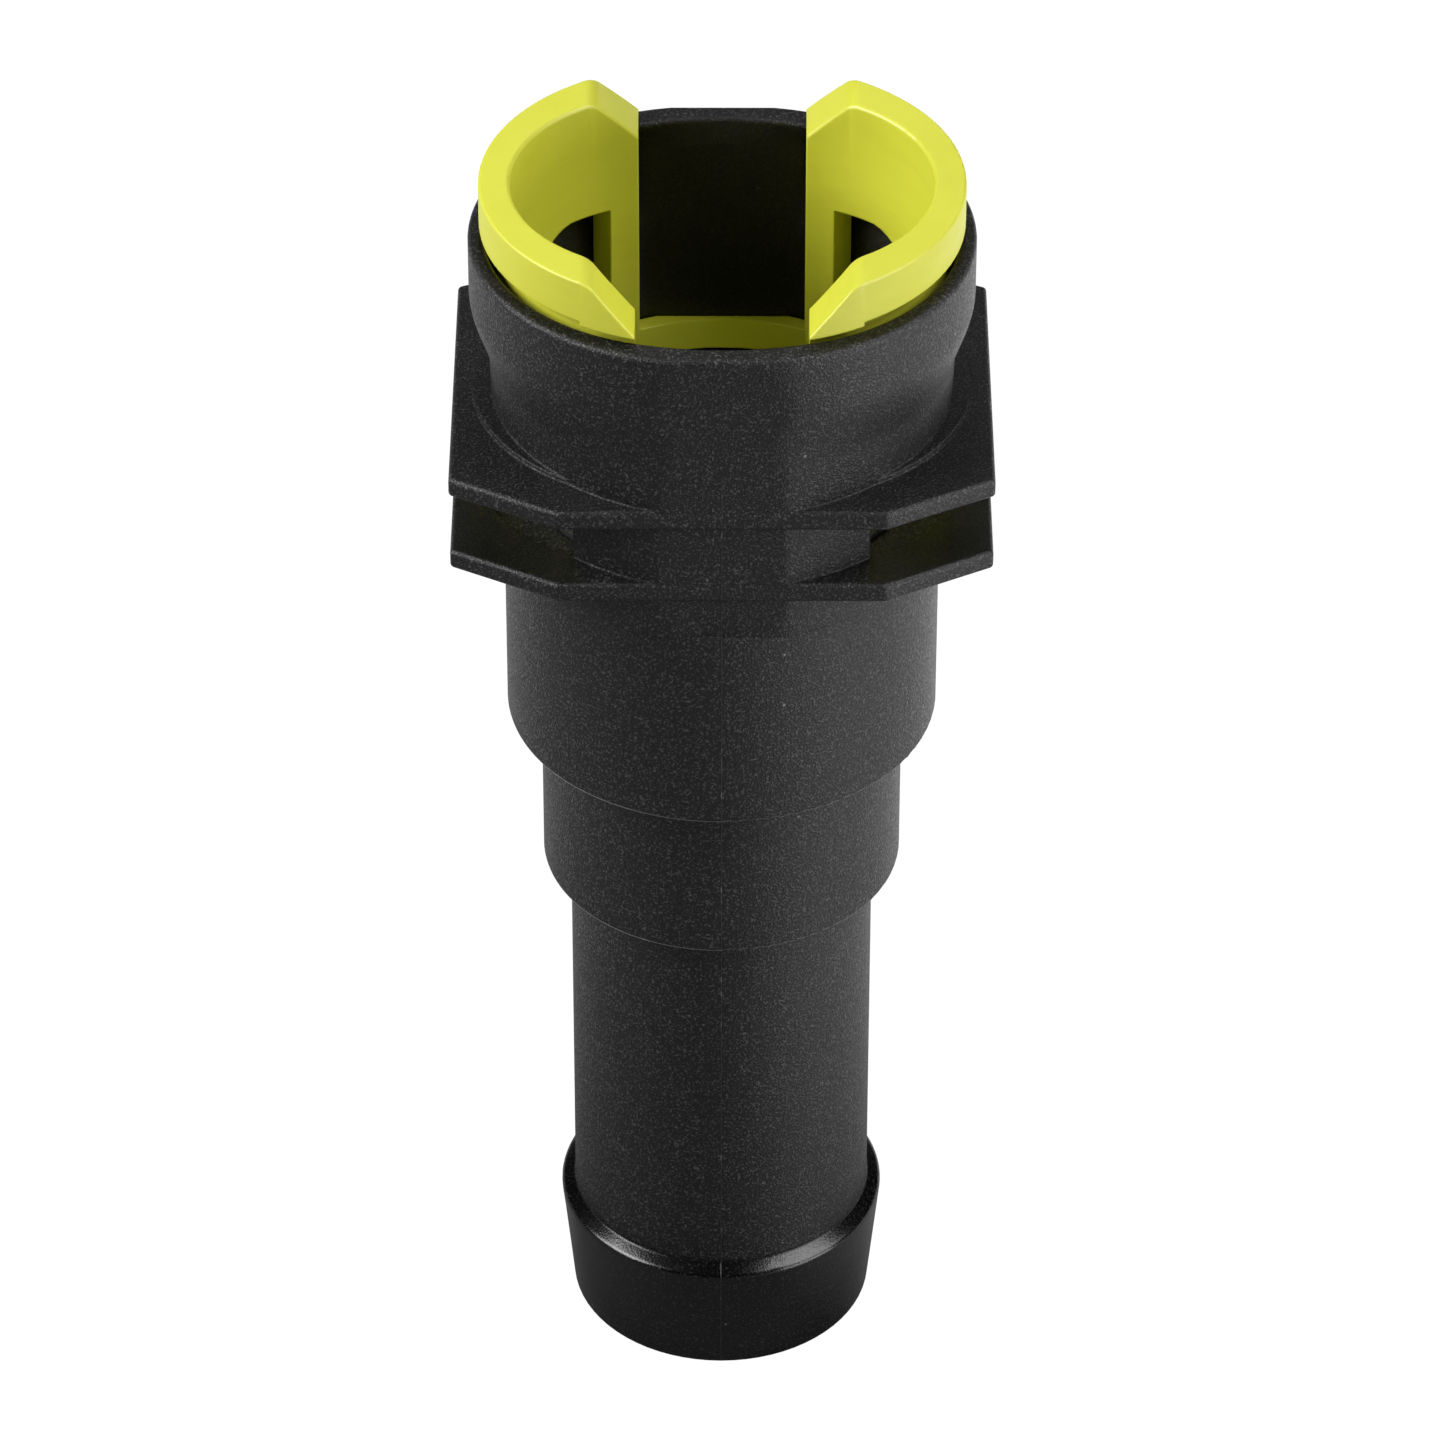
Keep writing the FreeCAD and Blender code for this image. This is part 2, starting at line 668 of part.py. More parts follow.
for item in doc.Objects:
    if "Invalid" in item.State or "Error" in item.State:
        raise RuntimeError(f"{item.Label} failed: {item.State}")
os.makedirs("parts", exist_ok=True)
for piece in pieces:
    shape = piece.Shape
    if shape.isNull() or not shape.isValid():
        raise RuntimeError(f"{piece.Label} has no valid shape")
    print(piece.Label, "solids", len(shape.Solids), "volume", round(shape.Volume, 1))
for piece in pieces:
    piece.Shape.exportStep(f"parts/{piece.Label}.step")
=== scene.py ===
import math

import bmesh
import bpy
from bpy.props import FloatProperty, FloatVectorProperty, IntProperty, PointerProperty
from bpy.types import Operator, Panel, PropertyGroup
from mathutils import Euler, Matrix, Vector


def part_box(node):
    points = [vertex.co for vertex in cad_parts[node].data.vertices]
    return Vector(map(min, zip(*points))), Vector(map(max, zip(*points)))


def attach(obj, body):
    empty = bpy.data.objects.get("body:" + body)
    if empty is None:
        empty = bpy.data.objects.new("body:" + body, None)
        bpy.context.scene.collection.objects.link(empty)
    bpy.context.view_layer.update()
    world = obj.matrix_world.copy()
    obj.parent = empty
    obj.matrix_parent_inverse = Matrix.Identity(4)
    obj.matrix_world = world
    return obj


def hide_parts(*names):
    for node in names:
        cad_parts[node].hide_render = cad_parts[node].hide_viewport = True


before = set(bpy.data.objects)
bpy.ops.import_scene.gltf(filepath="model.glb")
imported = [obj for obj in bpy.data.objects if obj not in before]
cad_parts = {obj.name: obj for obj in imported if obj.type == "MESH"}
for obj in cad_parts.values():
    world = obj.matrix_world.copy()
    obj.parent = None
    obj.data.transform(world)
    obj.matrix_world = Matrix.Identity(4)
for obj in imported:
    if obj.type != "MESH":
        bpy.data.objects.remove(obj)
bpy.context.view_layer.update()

bl_info = {
    "name": "Coolant hose connector",
    "version": (1, 0, 0),
    "blender": (4, 5, 0),
    "location": "3D View > Sidebar > Connector",
    "description": "Dresses the moulded hose connector, its retainer and its seals",
    "category": "Object",
}

MM = 0.001

# Faces that meet at less than this angle belong to one rounded surface.
CREASE_ANGLE = math.radians(50)
MERGE_DISTANCE = 0.0005 * MM

# A fine line is laid on the moulding by rays that start outside it, this far from its axis.
RAY_START = 30 * MM
RAY_LENGTH = 2 * RAY_START

# Corners round a seal ring, round its cord, along a painted highlight line and round a fine bead.
RING_CORNERS = 96
CORD_CORNERS = 24
HIGHLIGHT_LINE_CORNERS = 240
BEAD_CORNERS = 6


def ring_sizes(node):
    """Ring radius, cord radius and level of a seal, from the room that its solid takes."""
    low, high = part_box(node)
    cord_radius = (high.z - low.z) / 2
    return high.x - cord_radius, cord_radius, (high.z + low.z) / 2


LOWER_SEAL = ring_sizes("seal_lower")
UPPER_SEAL = ring_sizes("seal_upper")


# Settings that a user would change


class NylonSettings(PropertyGroup):
    """Black glass-filled nylon of the moulding."""

    colour: FloatVectorProperty(
        name="Colour", description="Colour of the nylon between its fibres",
        subtype="COLOR", size=4, min=0, max=1, default=(0.001, 0.001, 0.0011, 1))
    fibre_colour: FloatVectorProperty(
        name="Fibre colour", description="Colour where glass fibres lie close under the skin",
        subtype="COLOR", size=4, min=0, max=1, default=(0.10, 0.10, 0.101, 1))
    speck_colour: FloatVectorProperty(
        name="Speck colour", description="Colour of the few pale specks in the skin",
        subtype="COLOR", size=4, min=0, max=1, default=(0.35, 0.35, 0.34, 1))
    grain_size: FloatProperty(
        name="Grain size", description="Width of one grain of the matt skin",
        subtype="DISTANCE", default=0.15 * MM)
    grain_depth: FloatProperty(
        name="Grain depth", description="Height of the grain of the matt skin",
        subtype="DISTANCE", default=0.07 * MM)
    streak_length: FloatProperty(
        name="Streak length", description="Length of one streak left by the flow of the melt",
        subtype="DISTANCE", default=1.6 * MM)
    polish_level: FloatProperty(
        name="Polish level", description="Height under which the mould was polished, so the barb shines",
        subtype="DISTANCE", default=8.5 * MM)
    # The window foot, top and jamb bound the painted shade between the flanges.
    window_foot: FloatProperty(
        name="Window foot", description="Height over which the room between the flanges starts",
        subtype="DISTANCE", default=64.95 * MM)
    window_top: FloatProperty(
        name="Window top", description="Height at which the room between the flanges ends",
        subtype="DISTANCE", default=69.1 * MM)
    window_jamb: FloatProperty(
        name="Window jamb", description="How far sideways the room between the flanges starts",
        subtype="DISTANCE", default=8.8 * MM)
    edge_radius: FloatProperty(
        name="Edge radius", description="Rounding that the mould leaves on every edge",
        subtype="DISTANCE", default=0.22 * MM)


class RetainerSettings(PropertyGroup):
    """Waxy yellow-green plastic of the retainer."""

    colour: FloatVectorProperty(
        name="Colour", description="Colour of the retainer",
        subtype="COLOR", size=4, min=0, max=1, default=(0.68, 0.69, 0.05, 1))
    deep_colour: FloatVectorProperty(
        name="Deep colour", description="Colour where the plastic is denser",
        subtype="COLOR", size=4, min=0, max=1, default=(0.64, 0.645, 0.04, 1))
    glow_depth: FloatProperty(
        name="Glow depth", description="How far light spreads under the skin",
        subtype="DISTANCE", default=0.5 * MM)
    edge_radius: FloatProperty(
        name="Edge radius", description="Rounding that the mould leaves on every edge",
        subtype="DISTANCE", default=0.15 * MM)


class SealSettings(PropertyGroup):
    """Rubber rings that close on the tube."""

    ring_radius: FloatProperty(
        name="Ring radius", description="Radius at the middle of the cord",
        subtype="DISTANCE", default=LOWER_SEAL[0])
    cord_radius: FloatProperty(
        name="Cord radius", description="Half the thickness of the cord",
        subtype="DISTANCE", default=LOWER_SEAL[1])
    lower_level: FloatProperty(
        name="Lower level", description="Height of the lower ring's middle",
        subtype="DISTANCE", default=LOWER_SEAL[2])
    upper_level: FloatProperty(
        name="Upper level", description="Height of the upper ring's middle",
        subtype="DISTANCE", default=UPPER_SEAL[2])
    colour: FloatVectorProperty(
        name="Colour", description="Colour of the rubber",
        subtype="COLOR", size=4, min=0, max=1, default=(0.02, 0.02, 0.021, 1))


class GuideSettings(PropertyGroup):
    """Dark grey plastic of the spacer and the bushing."""

    colour: FloatVectorProperty(
        name="Colour", description="Colour of the guide rings",
        subtype="COLOR", size=4, min=0, max=1, default=(0.03, 0.03, 0.031, 1))


class PartingSettings(PropertyGroup):
    """Fine ridge that the two halves of the mould leave."""

    # Painted highlight: the ridge's paler colour and its bright dots.
    colour: FloatVectorProperty(
        name="Colour", description="Colour of the ridge, which catches the light",
        subtype="COLOR", size=4, min=0, max=1, default=(0.014, 0.014, 0.014, 1))
    painted_glint_colour: FloatVectorProperty(
        name="Glint colour", description="Colour of the bright dots along the ridge",
        subtype="COLOR", size=4, min=0, max=1, default=(0.2, 0.2, 0.2, 1))
    bead_radius: FloatProperty(
        name="Bead radius", description="How far the ridge stands out",
        subtype="DISTANCE", default=0.03 * MM)
    foot_level: FloatProperty(
        name="Foot level", description="Height at which the ridge starts",
        subtype="DISTANCE", default=0.5 * MM)
    top_level: FloatProperty(
        name="Top level", description="Height at which the ridge ends",
        subtype="DISTANCE", default=72.6 * MM)
    points: IntProperty(
        name="Points", description="Number of points along the ridge",
        min=50, max=2000, default=720)


class HighlightLineSettings(PropertyGroup):
    """Painted highlight: a fine pale bead on the lower edge of each stepped cylinder."""

    # Painted highlight: the bead's pale colour and its bright dots stand in for the light that the edges
    # catch.
    colour: FloatVectorProperty(
        name="Colour", description="Colour of the flash, which catches the light",
        subtype="COLOR", size=4, min=0, max=1, default=(0.15, 0.15, 0.15, 1))
    painted_glint_colour: FloatVectorProperty(
        name="Glint colour", description="Colour of the bright dots along the flash",
        subtype="COLOR", size=4, min=0, max=1, default=(0.35, 0.35, 0.35, 1))
    bead_radius: FloatProperty(
        name="Bead radius", description="How far the flash stands out",
        subtype="DISTANCE", default=0.035 * MM)
    lower_level: FloatProperty(
        name="Lower level", description="Height of the lower cylinder's edge",
        subtype="DISTANCE", default=35.47 * MM)
    upper_level: FloatProperty(
        name="Upper level", description="Height of the upper cylinder's edge",
        subtype="DISTANCE", default=47.17 * MM)


class StageSettings(PropertyGroup):
    """Floor, lamps and camera."""

    lens: FloatProperty(
        name="Lens", description="Focal length of the camera",
        subtype="DISTANCE_CAMERA", unit="CAMERA", default=187.82)
    pitch: FloatProperty(
        name="Pitch", description="How far the camera looks down",
        subtype="ANGLE", default=math.radians(36.952))
    roll: FloatProperty(
        name="Roll", description="Turn of the camera about its own axis",
        subtype="ANGLE", default=math.radians(0.075))
    distance: FloatProperty(
        name="Distance", description="From the camera to the point that it looks at",
        subtype="DISTANCE", default=470.605 * MM)
    target: FloatVectorProperty(
        name="Target", description="Point that the camera looks at",
        subtype="XYZ", size=3, default=(0.054 * MM, 0, 44.762 * MM))
    floor_colour: FloatVectorProperty(
        name="Floor colour", description="Colour of the floor",
        subtype="COLOR", size=4, min=0, max=1, default=(0.12, 0.12, 0.12, 1))
    sheen_behind: FloatProperty(
        name="Sheen behind", description="How pale the floor behind the object looks in its reflections",
        default=0.36, min=0, max=0.4)
    sheen_right: FloatProperty(
        name="Sheen right", description="How pale the floor on the right looks in its reflections",
        default=0.6, min=0, max=0.6)
    sheen_left: FloatProperty(
        name="Sheen left", description="How pale the floor on the left looks in its reflections",
        default=0.13, min=0, max=0.6)
    ambient: FloatProperty(
        name="Ambient", description="Strength of the light from all round",
        default=0.02, min=0, max=2)


SETTINGS = {
    "nylon": NylonSettings,
    "retainer": RetainerSettings,
    "seals": SealSettings,
    "guides": GuideSettings,
    "parting": PartingSettings,
    "flash": HighlightLineSettings,
    "stage": StageSettings,
}


# Node trees


class TreeBuilder:
    """Adds nodes to a tree and joins or sets their inputs."""

    def __init__(self, tree):
        self.tree = tree

    def add(self, kind, inputs=None, **properties):
        node = self.tree.nodes.new(kind)
        for name, value in properties.items():
            setattr(node, name, value)
        for key, value in (inputs or {}).items():
            if isinstance(value, bpy.types.NodeSocket):
                self.tree.links.new(value, node.inputs[key])
            else:
                node.inputs[key].default_value = value
        return node

    def blend(self, factor, first, second):
        """Colour that goes from first to second as factor goes from 0 to 1."""
        node = self.add("ShaderNodeMix", {0: factor, 6: first, 7: second}, data_type="RGBA")
        return node.outputs[2]

    def ramp(self, value, low, high, to_low, to_high):
        """Value that goes from to_low to to_high as the given one goes from low to high."""
        node = self.add("ShaderNodeMapRange", {
            "Value": value, "From Min": low, "From Max": high, "To Min": to_low, "To Max": to_high})
        return node.outputs["Result"]

    def between(self, share, first, second):
        """Value that goes from first to second as share goes from 0 to 1."""
        return self.ramp(share, 0.0, 1.0, first, second)

    def maths(self, operation, first, second):
        return self.add("ShaderNodeMath", {0: first, 1: second}, operation=operation).outputs[0]

    def vector_maths(self, operation, first, second):
        return self.add("ShaderNodeVectorMath", {0: first, 1: second}, operation=operation)


def new_group(kind, name, inputs, outputs):
    """An empty node group with named inputs and outputs. Inputs are name: (socket type, default)."""
    tree = bpy.data.node_groups.new(name, kind)
    for label, (socket_type, default) in inputs.items():
        socket = tree.interface.new_socket(label, in_out="INPUT", socket_type=socket_type)
        if default is not None:
            socket.default_value = default
    for label, socket_type in outputs.items():
        tree.interface.new_socket(label, in_out="OUTPUT", socket_type=socket_type)
    return tree


# Streaks of the melt slant across a part and are pressed together along its height.
FLOW_TURN = (0.3, math.radians(40), 0.2)
FLOW_SQUEEZE = (1.0, 1.0, 3.5)
STREAK_RANGE = (0.35, 0.68)


def moulded_skin():
    """Shader group for the skin of a moulded part: fine grain, flow streaks and a few bright specks."""
    name = "moulded_skin"
    if name in bpy.data.node_groups:
        return bpy.data.node_groups[name]
    tree = new_group("ShaderNodeTree", name, {
        "Vector": ("NodeSocketVector", None),
        "Grain size": ("NodeSocketFloat", 0.2 * MM),
        "Streak length": ("NodeSocketFloat", 2 * MM),
        "Speck spacing": ("NodeSocketFloat", 4 * MM),
        "Speck share": ("NodeSocketFloat", 0.035),
    }, {"Grain": "NodeSocketFloat", "Streaks": "NodeSocketFloat", "Specks": "NodeSocketFloat"})
    build = TreeBuilder(tree)
    given = build.add("NodeGroupInput").outputs
    grain = build.add("ShaderNodeTexNoise", {
        "Vector": given["Vector"], "Scale": build.maths("DIVIDE", 1.0, given["Grain size"]),
        "Detail": 2.0, "Roughness": 0.65})
    flow = build.add("ShaderNodeMapping", {
        "Vector": given["Vector"], "Rotation": FLOW_TURN, "Scale": FLOW_SQUEEZE})
    streaks = build.add("ShaderNodeTexNoise", {
        "Vector": flow.outputs[0], "Scale": build.maths("DIVIDE", 1.0, given["Streak length"]),
        "Detail": 4.0, "Roughness": 0.7})
    cells = build.add("ShaderNodeTexVoronoi", {
        "Vector": given["Vector"], "Scale": build.maths("DIVIDE", 1.0, given["Speck spacing"])})
    specks = build.ramp(cells.outputs["Distance"], given["Speck share"], 0.0, 0.0, 1.0)
    build.add("NodeGroupOutput", {
        "Grain": grain.outputs[0],
        "Streaks": build.ramp(streaks.outputs[0], *STREAK_RANGE, 0.0, 1.0),
        "Specks": specks})
    return tree


# Rays with which a shader finds the rounded edges, and the height of the fine grain of smooth parts.
EDGE_SAMPLES = 6
FINE_GRAIN_DEPTH = 0.02 * MM


def new_material(name):
    """A material, the builder of its nodes, its Principled surface and the object's own coordinates."""
    material = bpy.data.materials.new(name)
    material.use_nodes = True
    build = TreeBuilder(material.node_tree)
    surface = material.node_tree.nodes["Principled BSDF"]
    place = build.add("ShaderNodeTexCoord").outputs["Object"]
    return material, build, surface, place


def add_skin(build, place, sizes=None):
    """Outputs of the skin group. Sizes that aren't given keep the group's own values."""
    inputs = {"Vector": place, **(sizes or {})}
    return build.add("ShaderNodeGroup", inputs, node_tree=moulded_skin()).outputs


def skin_normal(build, height, strength, depth, edge_radius):
    """Normal of a grained skin whose edges are rounded."""
    edge = build.add("ShaderNodeBevel", {"Radius": edge_radius}, samples=EDGE_SAMPLES)
    bump = build.add("ShaderNodeBump", {
        "Strength": strength, "Distance": depth, "Height": height, "Normal": edge.outputs[0]})
    return bump.outputs[0]


def finish_surface(build, surface, colour, roughness, normal):
    """Join a surface's colour, roughness and normal."""
    build.tree.links.new(colour, surface.inputs["Base Color"])
    build.tree.links.new(roughness, surface.inputs["Roughness"])
    build.tree.links.new(normal, surface.inputs["Normal"])


# A fibre shows where the grain is this high, and fewer show in the dullest streaks.
FIBRE_RANGE = (0.54, 0.66)
DULL_STREAK = 0.45

# Roughness of the nylon where the grain is lowest and highest.
NYLON_GRAIN_RANGE = (0.35, 0.65)
NYLON_ROUGHNESS = (0.56, 0.32)

# What the polish leaves of the fibres, the roughness and the grain, and over which height it fades.
POLISHED_FIBRES = 0.3
POLISHED_ROUGHNESS = 0.4
POLISHED_GRAIN = 0.15
POLISH_FADE = 0.3 * MM

# Painted shade: how much of the pale fibres is left on walls that face the axis and in the room between
# the flanges, and how far walls have to face the axis to take that painted shade.
SHADED_FIBRES = 0.15
SHADE_FACING_RANGE = (-2 * MM, -1 * MM)


def unshaded_share(build, place, spot, settings):
    """1 on the outer skin, and 0 where shade is painted: on walls that face the axis and in the room
    between the flanges.
    """
    from_axis = build.vector_maths("MULTIPLY", place, (1, 1, 0)).outputs[0]
    normal = build.add("ShaderNodeNewGeometry").outputs["Normal"]
    facing = build.vector_maths("DOT_PRODUCT", from_axis, normal).outputs["Value"]
    outwards = build.ramp(facing, *SHADE_FACING_RANGE, 0.0, 1.0)
    aside = build.maths("GREATER_THAN", build.maths("ABSOLUTE", spot["X"], 0.0), settings.window_jamb)
    over = build.maths("GREATER_THAN", spot["Z"], settings.window_foot)
    under = build.maths("LESS_THAN", spot["Z"], settings.window_top)
    window = build.maths("MULTIPLY", aside, build.maths("MULTIPLY", over, under))
    return build.maths("MULTIPLY", outwards, build.maths("SUBTRACT", 1.0, window))


def nylon_material(settings):
    """Matt black nylon with pale fibres, polished on the barb, with painted shade (far fewer fibres) on
    walls that face the axis and between the flanges.
    """
    material, build, surface, place = new_material("glass_filled_nylon")
    skin = add_skin(build, place, {
        "Grain size": settings.grain_size, "Streak length": settings.streak_length})
    spot = build.add("ShaderNodeSeparateXYZ", {0: place}).outputs
    matt = build.ramp(spot["Z"], settings.polish_level, settings.polish_level + POLISH_FADE, 0.0, 1.0)

    ends = build.ramp(skin["Grain"], *FIBRE_RANGE, 0.0, 1.0)
    share = build.maths("MULTIPLY", ends, build.between(skin["Streaks"], DULL_STREAK, 1.0))
    share = build.maths("MULTIPLY", share, build.between(matt, POLISHED_FIBRES, 1.0))
    fibres = build.blend(share, settings.colour, settings.fibre_colour)
    speckled = build.blend(skin["Specks"], fibres, settings.speck_colour)
    # Painted shade: far fewer pale fibres inside the bore and between the flanges.
    unshaded = build.between(unshaded_share(build, place, spot, settings), SHADED_FIBRES, 1.0)

    roughness = build.ramp(skin["Grain"], *NYLON_GRAIN_RANGE, *NYLON_ROUGHNESS)
    finish_surface(
        build, surface,
        colour=build.blend(unshaded, settings.colour, speckled),
        roughness=build.maths("MULTIPLY", roughness, build.between(matt, POLISHED_ROUGHNESS, 1.0)),
        normal=skin_normal(build, skin["Grain"], build.between(matt, POLISHED_GRAIN, 1.0),
                           settings.grain_depth, settings.edge_radius))
    return material


# Painted glints: spacing and share of the pale dots along a ridge or highlight line.
PAINTED_GLINT_SPOTS = {"Speck spacing": 1.1 * MM, "Speck share": 0.3}
RIDGE_ROUGHNESS = 0.4


def painted_highlight_material(name, settings):
    """Paler nylon of a fine ridge or highlight line, a painted highlight, with painted glints along it.
    """
    material, build, surface, place = new_material(name)
    skin = add_skin(build, place, PAINTED_GLINT_SPOTS)
    colour = build.blend(skin["Specks"], settings.colour, settings.painted_glint_colour)
    build.tree.links.new(colour, surface.inputs["Base Color"])
    surface.inputs["Roughness"].default_value = RIDGE_ROUGHNESS
    return material


RETAINER_SKIN = {"Grain size": 0.3 * MM, "Streak length": 9 * MM}
RETAINER_ROUGHNESS = (0.42, 0.5)
RETAINER_GRAIN = 0.12


def retainer_material(settings):
    """Yellow-green plastic that light enters a little."""
    material, build, surface, place = new_material("waxy_retainer_plastic")
    skin = add_skin(build, place, RETAINER_SKIN)
    finish_surface(
        build, surface,
        colour=build.blend(skin["Streaks"], settings.colour, settings.deep_colour),
        roughness=build.between(skin["Streaks"], *RETAINER_ROUGHNESS),
        normal=skin_normal(build, skin["Grain"], RETAINER_GRAIN, FINE_GRAIN_DEPTH, settings.edge_radius))
    surface.inputs["Specular IOR Level"].default_value = 0.9
    surface.inputs["Subsurface Weight"].default_value = 0.08
    surface.inputs["Subsurface Radius"].default_value = (1.0, 0.95, 0.2)
    surface.inputs["Subsurface Scale"].default_value = settings.glow_depth
    return material


def dull_material(name, colour, dust, roughness, grain, edge_radius):
    """Dark material whose streaks are paler, by the factor dust."""
    material, build, surface, place = new_material(name)
    skin = add_skin(build, place)
    dusty = [min(1, channel * dust) for channel in colour[:3]] + [1]
    finish_surface(
        build, surface,
        colour=build.blend(skin["Streaks"], colour, dusty),
        roughness=build.between(skin["Streaks"], *roughness),
        normal=skin_normal(build, skin["Grain"], grain, FINE_GRAIN_DEPTH, edge_radius))
    return material


def rubber_material(settings):
    """Black rubber of the seals."""
    return dull_material("seal_rubber", settings.colour, dust=1.8, roughness=(0.4, 0.55),
                         grain=0.15, edge_radius=0.05 * MM)


def guide_material(settings):
    """Dark grey plastic of the spacer and the bushing."""
    return dull_material("guide_plastic", settings.colour, dust=1.5, roughness=(0.45, 0.58),
                         grain=0.2, edge_radius=0.1 * MM)


# Pieces


def add_object(name, data):
    """An object at the origin that shows a mesh, a lamp or a camera."""
    piece = bpy.data.objects.new(name, data)
    bpy.context.scene.collection.objects.link(piece)
    return piece


def take_over(node, name, material):
    """A smooth shaded, closed piece made from a copy of a node's triangles, which it stands for."""
    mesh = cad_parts[node].data.copy()
    mesh.name = name
    work = bmesh.new()
    work.from_mesh(mesh)
    bmesh.ops.remove_doubles(work, verts=work.verts, dist=MERGE_DISTANCE)
    bmesh.ops.dissolve_degenerate(work, edges=work.edges, dist=MERGE_DISTANCE)
    if any(not edge.is_manifold for edge in work.edges):
        raise RuntimeError(f"{name} isn't closed")
    for face in work.faces:
        face.smooth = True
        face.material_index = 0
    for edge in work.edges:
        edge.smooth = edge.calc_face_angle() < CREASE_ANGLE
    work.to_mesh(mesh)
    work.free()
    mesh.materials.clear()
    mesh.materials.append(material)
    if "custom_normal" in mesh.attributes:
        mesh.attributes.remove(mesh.attributes["custom_normal"])
    piece = add_object(name, mesh)
    even = piece.modifiers.new("even_normals", "WEIGHTED_NORMAL")
    even.keep_sharp = True
    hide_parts(node)
    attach(piece, "root")
    return piece


def grow(name, tree, values):
    """A plain mesh object from a geometry node tree with named inputs."""
    piece = add_object(name, bpy.data.meshes.new(name))
    modifier = piece.modifiers.new(tree.name, "NODES")
    modifier.node_group = tree
    sockets = {item.name: item.identifier for item in tree.interface.items_tree
               if item.item_type == "SOCKET" and item.in_out == "INPUT"}
    for label, value in values.items():
        modifier[sockets[label]] = value
    piece.update_tag()
    shape = bpy.data.meshes.new_from_object(piece.evaluated_get(bpy.context.evaluated_depsgraph_get()))
    piece.modifiers.remove(modifier)
    piece.data = shape
    shape.name = name
    if not shape.polygons:
        raise RuntimeError(f"{name} has no faces")
    return piece


def end_tree(build, geometry, material):
    """Give a tree smooth shading and end it with one plain mesh and its material."""
    smooth = build.add("GeometryNodeSetShadeSmooth", {"Geometry": geometry})
    real = build.add("GeometryNodeRealizeInstances", {"Geometry": smooth.outputs[0]})
    finished = build.add("GeometryNodeSetMaterial", {"Geometry": real.outputs[0], "Material": material})
    build.add("NodeGroupOutput", {"Geometry": finished.outputs[0]})


def flat_ring(build, corners, radius, level):
    """A circle round the axis at one level."""
    ring = build.add("GeometryNodeCurvePrimitiveCircle", {"Resolution": corners, "Radius": radius})
    lift = build.add("ShaderNodeCombineXYZ", {"Z": level})
    placed = build.add("GeometryNodeTransform", {
        "Geometry": ring.outputs[0], "Translation": lift.outputs[0]})
    return placed.outputs[0]


def lay_bead(build, given, curve, direction):
    """A bead along a curve that rays have laid on the moulding."""
    moulding = build.add("GeometryNodeObjectInfo", {"Object": given["Moulding"]})
    hit = build.add("GeometryNodeRaycast", {
        "Target Geometry": moulding.outputs["Geometry"],
        "Ray Direction": direction, "Ray Length": RAY_LENGTH})
    laid = build.add("GeometryNodeSetPosition", {
        "Geometry": curve, "Selection": hit.outputs["Is Hit"], "Position": hit.outputs["Hit Position"]})
    bead = build.add("GeometryNodeCurvePrimitiveCircle", {
        "Resolution": BEAD_CORNERS, "Radius": given["Bead radius"]})
    swept = build.add("GeometryNodeCurveToMesh", {
        "Curve": laid.outputs[0], "Profile Curve": bead.outputs[0], "Fill Caps": True})
    return swept.outputs[0]


def seal_ring_tree():
    """Geometry tree of a round cord bent to a ring."""
    tree = new_group("GeometryNodeTree", "seal_ring", {
        "Ring radius": ("NodeSocketFloat", 10 * MM),
        "Cord radius": ("NodeSocketFloat", 1 * MM),
        "Level": ("NodeSocketFloat", 0.0),
        "Material": ("NodeSocketMaterial", None),
    }, {"Geometry": "NodeSocketGeometry"})
    build = TreeBuilder(tree)
    given = build.add("NodeGroupInput").outputs
    ring = flat_ring(build, RING_CORNERS, given["Ring radius"], given["Level"])
    cord = build.add("GeometryNodeCurvePrimitiveCircle", {
        "Resolution": CORD_CORNERS, "Radius": given["Cord radius"]})
    swept = build.add("GeometryNodeCurveToMesh", {"Curve": ring, "Profile Curve": cord.outputs[0]})
    end_tree(build, swept.outputs[0], given["Material"])
    return tree


def parting_ridge_tree():
    """Geometry tree of a thin bead that follows the front and back of the moulding."""
    tree = new_group("GeometryNodeTree", "parting_ridge", {
        "Moulding": ("NodeSocketObject", None),
        "Bead radius": ("NodeSocketFloat", 0.03 * MM),
        "Foot level": ("NodeSocketFloat", 0.0),
        "Top level": ("NodeSocketFloat", 70 * MM),
        "Points": ("NodeSocketInt", 500),
        "Material": ("NodeSocketMaterial", None),
    }, {"Geometry": "NodeSocketGeometry"})
    build = TreeBuilder(tree)
    given = build.add("NodeGroupInput").outputs
    joined = build.add("GeometryNodeJoinGeometry")
    for side in (-1, 1):
        foot = build.add("ShaderNodeCombineXYZ", {"Y": side * RAY_START, "Z": given["Foot level"]})
        top = build.add("ShaderNodeCombineXYZ", {"Y": side * RAY_START, "Z": given["Top level"]})
        line = build.add("GeometryNodeCurvePrimitiveLine", {
            "Start": foot.outputs[0], "End": top.outputs[0]})
        points = build.add("GeometryNodeResampleCurve", {
            "Curve": line.outputs[0], "Count": given["Points"]})
        bead = lay_bead(build, given, points.outputs[0], (0, -side, 0))
        tree.links.new(bead, joined.inputs[0])
    end_tree(build, joined.outputs[0], given["Material"])
    return tree


